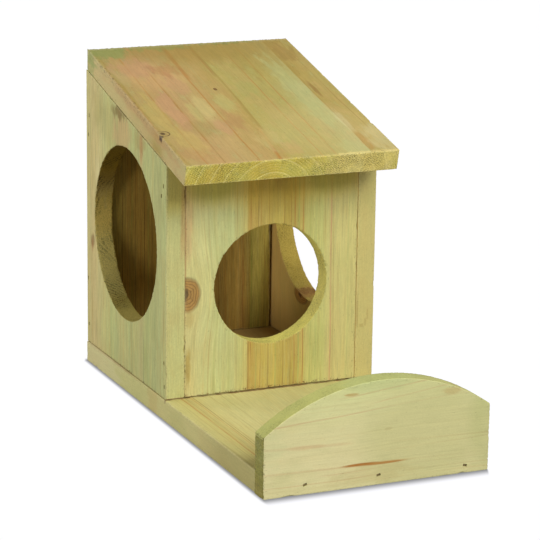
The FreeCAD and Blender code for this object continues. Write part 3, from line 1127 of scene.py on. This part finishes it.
base = Board(
    origin=Vector((0.0, 0.0, 0.0)),
    across=across_x,
    along=along_y,
    through=up,
    low=(-60.5, -115.5, 0),
    high=(60.5, 126, 11.5),
    shift=6.0,
    pith_across=-16.0,
    pith_through=-34.0,
    ring_spacing=5.6,
    ring_strength=0.04,
    bands=[
        (-60.5, screen(196, 188, 122)),
        (-54, screen(198, 188, 118)),
        (-50, screen(194, 180, 112)),
        (-42, screen(204, 194, 128)),
        (-34, screen(206, 198, 134)),
        (0, screen(200, 193, 130)),
        (30, screen(196, 190, 124)),
        (60.5, screen(198, 186, 118)),
    ],
    lines=[
        Line(-55, line_brown, 0.30, left=0.3),
        Line(-51.6, orange, 0.70, left=0.5, right=1.2),
        Line(-49.4, line_brown, 0.45, left=0.3, start=-90),
        Line(-46.8, orange, 0.40, right=1),
        Line(-45.4, line_brown, 0.80, left=0.3, right=0.5),
        Line(-43.9, line_brown, 0.55, left=0.3, stop=-40),
        Line(-36, line_brown, 0.35, right=1),
        Line(-30, line_brown, 0.30, right=1),
    ],
    stains_and_painted_light=[
        StainOrPaintedLight(-60, 60, 20, 60, pale_green, 0.35),
        StainOrPaintedLight(-60, 22, 8, 10, orange, 0.20),
        StainOrPaintedLight(0, 4, 80, 1.6, foot_brown, 0.75, depth=11.5, half_depth=2),
        # Painted shade inside the box on the base's top
        StainOrPaintedLight(0, 92, 120, 84, screen(146, 104, 44), 0.72, depth=11.5, half_depth=1, smooth=True),
        # Painted shade and light on the base's left side: darker at the front, lighter at the back
        StainOrPaintedLight(-60.5, -112, 3, 80, screen(150, 136, 80), 0.45, smooth=True),
        StainOrPaintedLight(-60.5, 120, 3, 70, cream, 0.45),
    ],
    edge_tint=screen(200, 190, 126),
    streaks=0.75,
    fibres=0.44,
    rounding=0.24,
)

arch_along, arch_across, arch_radius = circle_through(
    (-stop_half_width, stop_left_height), stop_crown, (stop_half_width, stop_right_height)
)
stop_board = Board(
    origin=Vector((0.0, stop_low.y, 0.0)),
    across=up,
    along=across_x,
    through=along_y,
    low=(0, -60.99, 0),
    high=(60, 60.99, 10.5),
    shift=7.0,
    round_cut=(arch_across, arch_along, arch_radius),
    bands=[
        (0, screen(218, 210, 154)),
        (14, screen(222, 212, 158)),
        (30, screen(218, 210, 154)),
        (44, screen(214, 212, 152)),
        (53.3, screen(206, 208, 142)),
    ],
    lines=[
        Line(5.3, pink, 0.35, right=0.6),
        Line(11.2, pink, 0.28, left=0.8, right=0.9, lean=-0.02),
        Line(22.5, pink, 0.25, left=1.2, right=1.2, lean=-0.04, stop=-15),
        Line(21, pink, 0.50, left=0.5, right=0.9, lean=-0.02, start=8),
        Line(16.5, pink, 0.40, left=0.5, right=0.8, lean=0.03, start=4),
        Line(8.6, pink, 0.32, right=0.6, start=-30),
        Line(2.6, pink, 0.28, left=0.5, right=0.5, start=0),
        Line(38.8, pink, 0.45, left=0.5, right=0.7, lean=0.06),
        Line(42.3, pink, 0.50, right=0.6, lean=0.12, start=-2, stop=45),
        Line(48, pink, 0.50, right=0.7, lean=0.09, start=-20, stop=35),
    ],
    stains_and_painted_light=[
        StainOrPaintedLight(22, 26, 40, 52, screen(200, 195, 136), 0.75, smooth=True),
        StainOrPaintedLight(11.1, -1, 1.2, 26, orange, 0.35, smooth=True),
        StainOrPaintedLight(11.5, -9.5, 1, 14, screen(170, 108, 42), 0.90, smooth=True),
        StainOrPaintedLight(10.9, 3, 0.9, 16, screen(172, 112, 46), 0.80, smooth=True),
        StainOrPaintedLight(47.5, -15, 0.9, 5, orange, 0.55),
        StainOrPaintedLight(43.5, 40, 2.5, 8, orange, 0.28),
        StainOrPaintedLight(23.8, -38, 1.8, 13, pink, 0.22),
        StainOrPaintedLight(28, 5, 1.2, 3.4, line_brown, 0.16),
        StainOrPaintedLight(25, 64, 40, 20, leaf_green, 0.26, smooth=True),
        StainOrPaintedLight(6, -4, 7, 30, tan, 0.22),
        StainOrPaintedLight(24, -56, 14, 9, mint, 0.16),
        StainOrPaintedLight(52, 2, 6, 30, mint, 0.26),
        StainOrPaintedLight(20, -61, 30, 1.4, dirt, 0.45, broken=True),
    ],
    edge_tint=screen(190, 190, 120),
    end_tint=screen(146, 136, 62),
    end_warm=screen(142, 138, 62),
    end_line=screen(156, 148, 76),
    cut_tint=screen(184, 184, 108),
    cut_end_tint=screen(174, 172, 94),
    torn=0.45,
    slant=1.5708,
    pitch=1.1,
    streaks=0.30,
    fibres=0.20,
    warm_share=0.10,
    ring_strength=0.04,
    blotch_share=0.0,
    rubbed=0.0,
    rounding=0.10,
)

boards = {
    "roof_board": roof,
    "left_side_panel": left_side,
    "right_side_panel": right_side,
    "front_panel": front_wall,
    "back_panel": back_wall,
    "base_board": base,
    "front_lip": stop_board,
}


# How finely a board's mesh is divided: length of the cut facets along an arris, widths of the
# rows of vertices beside it, rows through the thickness, what is merged in corners and at an
# arc's end, and the material number that marks the faces inside the rows while they are made
facet_length = 0.7
rows_beside = (0.35, 0.40, 0.40, 0.40, 0.40)
rows_through = 12
corner_merge = 0.6
arc_merge = 0.05
inner_mark = 1

# The top stretch of a board between the side walls, which leans with the roof
lean_stretch = 25.0

# Wear of the arrises: torn fibres, chips, the saw's waves, and how deep and far in wear may go
torn_depth = 0.70
torn_length = 1.0
chip_depth = 1.5
chip_length = 5.0
chip_rarity = 0.34
saw_wave = 0.12
saw_wave_length = 3.0
deepest_wear = 1.6
wear_reach = 3.0
on_surface = 0.01

# Raggedness of an arris along the grain, in a round cut, on the stop's arch and under the roof
ragged_along_grain = 0.25
ragged_round_cut = 1.5
ragged_arch = 0.6
ragged_under_roof = 0.12

# Shares of the wear on the roof's lower arrises and on the side walls' top, and what it gains
# where an arris is sharper or blunter than square
roof_underside_share = 0.25
side_top_share = 0.4
sharp_gain = 6.0
blunt_gain = 2.0


def inside_distances(board, place):
    """How deep a point lies below each surface of a board, with the way inwards."""
    across, along, through = place
    found = []
    for axis in range(3):
        way = Vector((0.0, 0.0, 0.0))
        way[axis] = 1.0
        found.append((place[axis] - board.low[axis], way))
        if axis != 1:
            found.append((board.high[axis] - place[axis], -way))
    top_way = Vector((board.slope, -1.0, board.lean))
    top = board.high[1] + board.slope * across + board.lean * through - along
    found.append((top / top_way.length, top_way.normalized()))
    at_across, at_along, radius = board.round_cut
    if radius > 0:
        spoke = Vector((across - at_across, along - at_along, 0.0))
        inwards = -1.0 if board is stop_board else 1.0
        found.append(((spoke.length - radius) * inwards, spoke.normalized() * inwards))
    return found


def worn_depth(board, spot, first_way, second_way):
    """How deep the arris between two surfaces is worn at a spot."""
    torn = abs(noise.noise(spot / torn_length)) + abs(noise.noise(spot / (torn_length * 0.5))) * 0.5
    chip = max(0.0, noise.noise(spot / chip_length) - chip_rarity)
    on_round = first_way.x * first_way.y or second_way.x * second_way.y
    on_top = min(first_way.y, second_way.y) < -0.9
    on_underside = max(first_way.z, second_way.z) > 0.5
    ragged = max(ragged_along_grain, abs(first_way.y), abs(second_way.y))
    if board.round_cut[2] > 0 and on_round:
        ragged = ragged_arch if board is stop_board else ragged_round_cut
    elif board in (left_side, right_side, front_wall) and on_top:
        ragged = ragged_under_roof
    depth = board.rounding + torn * torn_depth * ragged + chip * chip_depth
    if board is roof and on_underside:
        depth *= roof_underside_share
    if board in (left_side, right_side) and on_top:
        depth *= side_top_share
    sharpness = -first_way.dot(second_way)
    return min(depth * (1.0 + max(sharp_gain * sharpness, blunt_gain * sharpness)), deepest_wear)


def wear_down(board, shape):
    """Rounds, tears and chips the arrises, and leaves the saw's waves in round cuts."""
    offset = Vector((31.0, 17.0, 43.0)) * board.shift
    for vert in shape.verts:
        place = vert.co.copy()
        found = sorted(inside_distances(board, place), key=lambda pair: abs(pair[0]))
        first, first_way = found[0]
        if first > on_surface or found[1][0] > wear_reach:
            continue
        spot = place + offset
        plain = True
        for second, second_way in found[1:3]:
            over = worn_depth(board, spot, first_way, second_way) - max(first, 0.0) - max(second, 0.0)
            if over > 0:
                vert.co += (first_way + second_way) * over / 2
                plain = False
        in_round = first_way.z == 0 and first_way.x != 0 and first_way.y != 0
        if plain and board.round_cut[2] > 0 and in_round:
            wave = 0.5 + 0.5 * noise.noise(spot / saw_wave_length)
            vert.co += first_way * saw_wave * wave


def add_arc(shape, corner, board, finish):
    """An arc of short edges from a corner round the centre of a board's round cut."""
    at_across, at_along, radius = board.round_cut
    first_spoke = Vector((corner.co.x - at_across, corner.co.y - at_along))
    last_spoke = Vector((finish.co.x - at_across, finish.co.y - at_along))
    angle = -first_spoke.angle_signed(last_spoke)
    bmesh.ops.spin(
        shape,
        geom=[corner],
        cent=(at_across, at_along, 0.0),
        axis=(0.0, 0.0, 1.0),
        angle=angle,
        steps=round(abs(angle) * radius / facet_length),
    )
    bmesh.ops.remove_doubles(shape, verts=shape.verts, dist=arc_merge)


def add_outline(board, shape):
    """The outline of a board's face, with its round cut, as rows of short edges."""
    low_across, low_along = board.low[:2]
    high_across, high_along = board.high[:2]
    corners = [
        (high_across, high_along + board.slope * high_across),
        (low_across, high_along + board.slope * low_across),
        (low_across, low_along),
        (high_across, low_along),
    ]
    if board is stop_board:
        corners[0] = (stop_right_height, high_along)
        corners[3] = (stop_left_height, low_along)
    verts = [shape.verts.new((across, along, 0.0)) for across, along in corners]
    for first, last in zip(verts, verts[1:]):
        shape.edges.new((first, last))
    if board is stop_board:
        add_arc(shape, verts[3], board, verts[0])
    else:
        shape.edges.new((verts[3], verts[0]))
    long_edges = shape.edges[:]
    while long_edges:
        edge = long_edges[0]
        cuts = round(edge.calc_length() / facet_length) - 1
        if cuts > 0:
            bmesh.ops.subdivide_edges(shape, edges=[edge], cuts=cuts)
        long_edges = [edge for edge in shape.edges if edge.calc_length() > 2 * facet_length]
    at_across, at_along, radius = board.round_cut
    if radius > 0 and board is not stop_board:
        bmesh.ops.create_circle(
            shape,
            segments=round(math.tau * radius / facet_length),
            radius=radius,
            matrix=Matrix.Translation((at_across, at_along, 0.0)),
        )


def add_rows_beside(shape):
    """Rows of vertices beside the outline of the faces, merged where they meet in corners."""
    for face in shape.faces:
        face.material_index = inner_mark
    for width in rows_beside:
        inner = [face for face in shape.faces if face.material_index == inner_mark]
        made = bmesh.ops.inset_region(
            shape, faces=inner, thickness=width, use_boundary=True, use_even_offset=True
        )
        for face in made["faces"]:
            face.material_index = 0
        shape.verts.index_update()
        rim = {vert for face in shape.faces if face.material_index == inner_mark for vert in face.verts}
        rim = sorted(rim, key=lambda vert: vert.index)
        bmesh.ops.remove_doubles(shape, verts=rim, dist=corner_merge)
    for face in shape.faces:
        face.material_index = 0


def board_shape(board):
    """A board cut to its outline, finely divided beside its arrises, in its own millimetres."""
    shape = bmesh.new()
    add_outline(board, shape)
    bmesh.ops.triangle_fill(shape, edges=shape.edges[:], use_beauty=True)
    add_rows_beside(shape)
    thickness = board.high[2]
    made = bmesh.ops.extrude_face_region(shape, geom=shape.faces[:], use_keep_orig=True)
    raised = [item for item in made["geom"] if isinstance(item, bmesh.types.BMVert)]
    bmesh.ops.translate(shape, verts=raised, vec=(0.0, 0.0, thickness))
    uprights = [
        edge for edge in shape.edges if abs(edge.verts[0].co.z - edge.verts[1].co.z) > thickness / 2
    ]
    bmesh.ops.subdivide_edges(shape, edges=uprights, cuts=rows_through - 1, use_grid_fill=True)
    bmesh.ops.recalc_face_normals(shape, faces=shape.faces[:])
    lean_start = board.high[1] - lean_stretch
    for vert in shape.verts:
        share = vert.co.z / thickness
        vert.co.z = thickness * (0.5 - 0.5 * math.cos(math.pi * share))
        vert.co.y += board.lean * vert.co.z * max(0.0, (vert.co.y - lean_start) / lean_stretch)
    wear_down(board, shape)
    return shape


# A brad's head is cut off this deep in the wood, and moved out to cut the dent above it
head_depth = 1.15
dent_move = 0.73

# Merging of a CAD node's loose triangles, in metres, and reach of the cut, in millimetres
same_point = 0.000001
cut_reach = 0.0001

# Faces meet sharply past this angle, and a face this square to an axis is shaded flat
sharp_angle = math.radians(28.0)
flat_normal = 0.9999

# Which rows of brads show in which board, and on which side of it
dents = {
    "left_side_panel": (("left_front_brads", "left_back_brads"), -1),
    "right_side_panel": (("right_front_brads", "right_back_brads"), 1),
    "front_lip": (("lip_brads",), -1),
    "base_board": (("base_brads",), -1),
}


def show(name, mesh):
    """A new object in the scene."""
    piece = bpy.data.objects.new(name, mesh)
    bpy.context.scene.collection.objects.link(piece)
    return piece


def take_mesh(shape, name):
    """A bmesh's shape as a mesh."""
    mesh = bpy.data.meshes.new(name)
    shape.to_mesh(mesh)
    shape.free()
    return mesh


def into_board(board):
    """Turns the frame's metres into a board's own millimetres."""
    scale = Matrix.Scale(1 / millimetre, 4)
    return scale @ board.turn().to_4x4() @ Matrix.Translation(-board.origin)


def brad_heads(board, name, outwards):
    """The heads of one row of brads, moved out to where their dents are, in a board's millimetres."""
    shape = bmesh.new()
    shape.from_mesh(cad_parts[name].data)
    bmesh.ops.remove_doubles(shape, verts=shape.verts, dist=same_point)
    bmesh.ops.transform(shape, matrix=into_board(board), verts=shape.verts)
    surface = board.high[2] if outwards > 0 else board.low[2]
    cut = bmesh.ops.bisect_plane(
        shape,
        geom=shape.verts[:] + shape.edges[:] + shape.faces[:],
        dist=cut_reach,
        plane_co=(0.0, 0.0, surface - outwards * head_depth),
        plane_no=(0.0, 0.0, -outwards),
        clear_outer=True,
    )
    rims = [item for item in cut["geom_cut"] if isinstance(item, bmesh.types.BMEdge)]
    bmesh.ops.holes_fill(shape, edges=rims)
    bmesh.ops.translate(shape, verts=shape.verts, vec=(0.0, 0.0, outwards * dent_move))
    bmesh.ops.recalc_face_normals(shape, faces=shape.faces[:])
    return take_mesh(shape, name + "_dents")


def cut_dents(mesh, cutters):
    """Cuts the dent above each brad's head into a board's mesh."""
    pieces = [show("board_to_cut", mesh)]
    for cutter_mesh in cutters:
        cutter = show("dents", cutter_mesh)
        modifier = pieces[0].modifiers.new("dents", "BOOLEAN")
        modifier.operation = "DIFFERENCE"
        modifier.solver = "EXACT"
        modifier.object = cutter
        pieces.append(cutter)
    graph = bpy.context.evaluated_depsgraph_get()
    result = bpy.data.meshes.new_from_object(pieces[0].evaluated_get(graph))
    for piece in pieces:
        bpy.data.objects.remove(piece)
    return result


def make_board(name, board):
    """A worn board in place of its plain CAD node."""
    mesh = take_mesh(board_shape(board), "uncut_" + name)
    if name in dents:
        rows, outwards = dents[name]
        mesh = cut_dents(mesh, [brad_heads(board, row, outwards) for row in rows])
    mesh.name = "worn_" + name
    mesh.set_sharp_from_angle(angle=sharp_angle)
    for face in mesh.polygons:
        face.use_smooth = max(abs(part) for part in face.normal) < flat_normal
    mesh.transform(into_board(board).inverted())
    mesh.materials.clear()
    mesh.materials.append(Pine(name + "_wood", board).material)
    piece = show("worn_" + name, mesh)
    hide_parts(name)
    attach(piece, "lid" if name == "roof_board" else "box")


for name, board in boards.items():
    make_board(name, board)


def steel_material(name, tint, roughness, grime):
    """Plated steel with a fine brushed grain and some grime."""
    material, tree = new_material(name)
    place = tree.place()
    brushed = tree.noise(place, (6.0, 0.12, 0.12), 3.0, 0.6)
    spots = tree.noise(place, (1.4, 1.4, 1.4), 3.0, 0.6).rise(0.50, 0.72)
    tree.surface(
        height=brushed * 0.02 + spots * 0.02,
        base_color=tree.mix(spots * grime, tint, dirt),
        roughness=roughness + brushed * 0.16 + spots * 0.2,
        metallic=1.0 - spots * grime * 0.6,
    )
    return material


zinc = steel_material("zinc_plated_steel", screen(188, 190, 192), 0.30, 0.25)
screw_steel = steel_material("screw_steel", screen(206, 204, 196), 0.25, 0.2)
brad_steel = steel_material("brad_steel", screen(128, 112, 76), 0.5, 0.6)
metals = {"brads": brad_steel, "screws": screw_steel, "hinge": zinc}
for name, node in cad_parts.items():
    metal = next((metals[kind] for kind in metals if kind in name), None)
    if metal:
        node.data.materials.clear()
        node.data.materials.append(metal)

# Light on the stage: even light all round, and what the white floor throws back
object_middle = Vector((0.0, 0.0, 0.09))
ambient = 0.24
floor_reach = 3.0
floor_height = -0.0001
floor_bounce = 0.27

# A shadow painted on the floor round the object's footprint: its light at the base and in the open,
# where it starts and ends, and how much narrower it is on the left, on the right and behind than before
# the stop.
# The right side draws in towards the front, and the back towards the left.
contact_light = 0.26
open_light = 1.04
contact_core = 0.0015
contact_reach = 0.009
left_squeeze = 3.2
right_squeeze = 8.0
right_draw = 0.44
behind_squeeze = 2.0
behind_draw = 2.28
shadow_blue = (0.97, 0.97, 1.0, 1.0)


def clear_nodes(thing):
    """The emptied node tree of a material or a world."""
    thing.use_nodes = True
    thing.node_tree.nodes.clear()
    return Tree(thing.node_tree)


def show_apart(tree, lit, seen, output):
    """One shader to light the object with, and another for the camera and reflections to see."""
    camera = tree.wire("ShaderNodeLightPath", output="Is Camera Ray")
    glossy = tree.wire("ShaderNodeLightPath", output="Is Glossy Ray")
    through = tree.wire("ShaderNodeLightPath", output="Is Transmission Ray")
    direct = camera.above(glossy).above(through)
    choice = tree.wire("ShaderNodeMixShader", {0: direct, 1: lit, 2: seen})
    tree.node(output, {"Surface": choice})


def make_floor():
    """A plain white floor with a shadow painted round the object's footprint, darkest where the object
    touches it.
    """
    shape = bmesh.new()
    bmesh.ops.create_grid(shape, x_segments=1, y_segments=1, size=floor_reach)
    bmesh.ops.translate(shape, verts=shape.verts, vec=(0.0, 0.0, floor_height))
    floor = show("floor", take_mesh(shape, "floor"))
    material = bpy.data.materials.new("white_floor")
    tree = clear_nodes(material)
    across, along, _ = tree.wire("ShaderNodeTexCoord", output="Object").parts()
    left = (base_low.x - across).above(0.0)
    before = (stop_low.y - along).above(0.0)
    right = (across - base_high.x + before * right_draw) * right_squeeze
    behind = (along - base_high.y + left * behind_draw) * behind_squeeze
    beside = (left * left_squeeze).above(right).above(behind).above(0.0)
    open_share = tree.length(beside, before).rise(-contact_core, contact_reach)
    painted_shadow_glow = contact_light + open_share * (open_light - contact_light)
    lit = tree.wire("ShaderNodeBsdfDiffuse", {"Color": (floor_bounce,) * 3 + (1.0,)})
    seen = tree.wire("ShaderNodeEmission", {"Color": shadow_blue, "Strength": painted_shadow_glow})
    show_apart(tree, lit, seen, "ShaderNodeOutputMaterial")
    floor.data.materials.append(material)
    floor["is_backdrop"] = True


def make_world():
    """Even light all round, which the camera and reflections see as white."""
    world = bpy.data.worlds.new("studio")
    bpy.context.scene.world = world
    tree = clear_nodes(world)
    lit = tree.wire("ShaderNodeBackground", {"Strength": ambient})
    seen = tree.wire("ShaderNodeBackground", {"Strength": 1.0})
    show_apart(tree, lit, seen, "ShaderNodeOutputWorld")


def soft_light(name, place, width, height, power):
    """A soft box aimed at the middle of the object."""
    lamp = bpy.data.lights.new(name, "AREA")
    lamp.shape = "RECTANGLE"
    lamp.size = width
    lamp.size_y = height
    lamp.energy = power
    light = show(name, lamp)
    light.location = place
    light.rotation_euler = (object_middle - Vector(place)).to_track_quat("-Z", "Y").to_euler()


make_floor()
make_world()
soft_light("front_box", (0.35, -0.935, 0.975), 0.9, 0.75, 17.8)
soft_light("left_box", (-0.90, -0.36, 0.22), 0.3, 0.3, 3.0)
soft_light("back_left_box", (-0.50, 0.50, 0.28), 0.4, 0.4, 2.1)

# The photograph's camera
camera_place = Vector((-0.50235, -1.12579, 0.39437))
camera_yaw = math.radians(23.917)
camera_pitch = math.radians(14.409)
camera_roll = math.radians(0.793)
camera_lens = 161.45
camera_sensor = 36.0


def make_camera():
    """The camera, level with the photograph's."""
    camera = show("camera", bpy.data.cameras.new("camera"))
    camera.data.lens = camera_lens
    camera.data.sensor_width = camera_sensor
    turn = Matrix.Rotation(-camera_yaw, 3, "Z")
    tilt = Matrix.Rotation(math.pi / 2 - camera_pitch, 3, "X")
    roll = Matrix.Rotation(camera_roll, 3, "Z")
    camera.location = camera_place
    camera.rotation_euler = (turn @ tilt @ roll).to_euler()
    bpy.context.scene.camera = camera


make_camera()
bpy.context.scene.view_settings.view_transform = "Standard"

visual_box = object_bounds()
for box in (cad_box, visual_box):
    json.dumps([list(corner) for corner in box]) + "\n"
